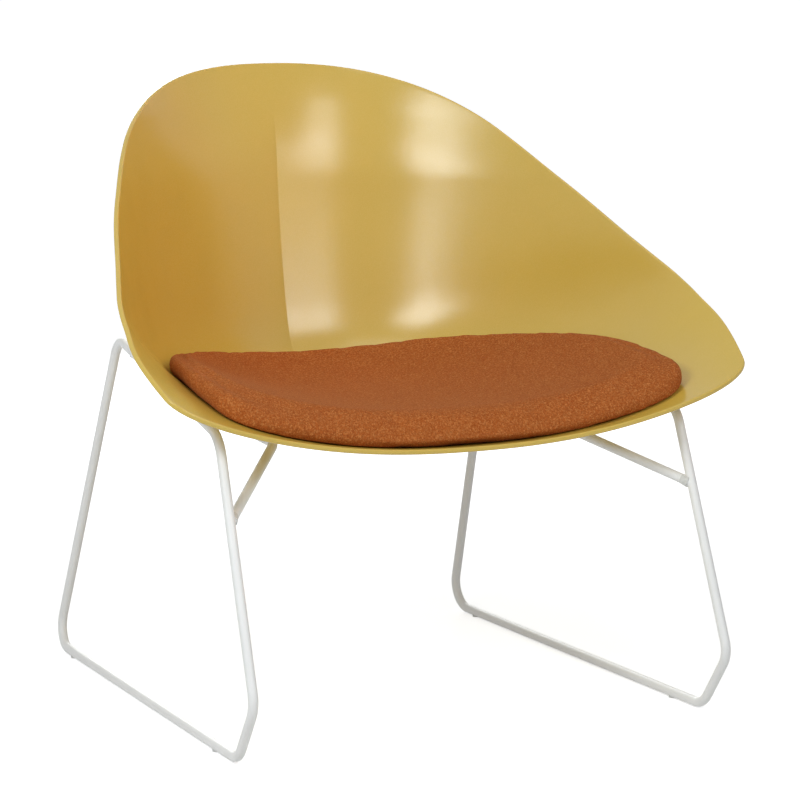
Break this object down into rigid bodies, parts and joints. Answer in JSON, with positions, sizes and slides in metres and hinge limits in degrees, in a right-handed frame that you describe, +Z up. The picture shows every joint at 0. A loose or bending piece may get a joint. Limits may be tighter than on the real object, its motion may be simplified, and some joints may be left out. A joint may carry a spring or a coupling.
{
  "type": "shell lounge chair",
  "caption": "Low bucket chair: a moulded plastic shell with a soft lift-off seat pad, carried on a bent steel rod sled frame with welded braces and straps.",
  "frame": {"origin": "on the floor, under the middle of the chair's outline, level with the glides' undersides", "axes": "+Z up, the sitter faces -Y, +X to the right as seen from the front; the YZ plane is the mirror plane"},
  "size_m": [0.773, 0.705, 0.762],
  "materials": {
    "frame_steel": "white powder coat, satin, very fine texture",
    "weld_steel": "weld beads under the same white powder coat",
    "shell_plastic": "mustard yellow, satin gloss with a very fine grain",
    "pad_fabric": "rust orange felted wool, mottled, no piping",
    "screw_steel": "bright zinc plate",
    "insert_brass": "plain turned brass",
    "sleeve_rubber": "grey matt rubber",
    "glide_plastic": "pale grey nylon",
    "hook_tape": "black nylon hook tape",
    "loop_tape": "black nylon loop tape"
  },
  "bodies": {
    "chair": {"side_frame_left": "frame_steel", "brace_left": "frame_steel", "butt_weld_left": "weld_steel", "brace_weld_front_left": "weld_steel", "glide_front_left": "glide_plastic", "sleeve_front_left": "sleeve_rubber", "brace_weld_rear_left": "weld_steel", "glide_rear_left": "glide_plastic", "sleeve_rear_left": "sleeve_rubber", "side_frame_right": "frame_steel", "brace_right": "frame_steel", "butt_weld_right": "weld_steel", "brace_weld_front_right": "weld_steel", "glide_front_right": "glide_plastic", "sleeve_front_right": "sleeve_rubber", "brace_weld_rear_right": "weld_steel", "glide_rear_right": "glide_plastic", "sleeve_rear_right": "sleeve_rubber", "strap_front": "frame_steel", "strap_rear": "frame_steel", "strap_welds": "weld_steel", "seat_shell": "shell_plastic", "threaded_inserts": "insert_brass", "mounting_screws": "screw_steel", "mounting_washers": "screw_steel", "hook_patches": "hook_tape"},
    "pad": {"seat_pad": "pad_fabric", "loop_patches": "loop_tape"}
  },
  "joints": [
    {"name": "pad_lift", "type": "slide", "parent": "chair", "child": "pad", "axis": [0, 0, 1], "range_m": [0, 0.45]}
  ]
}
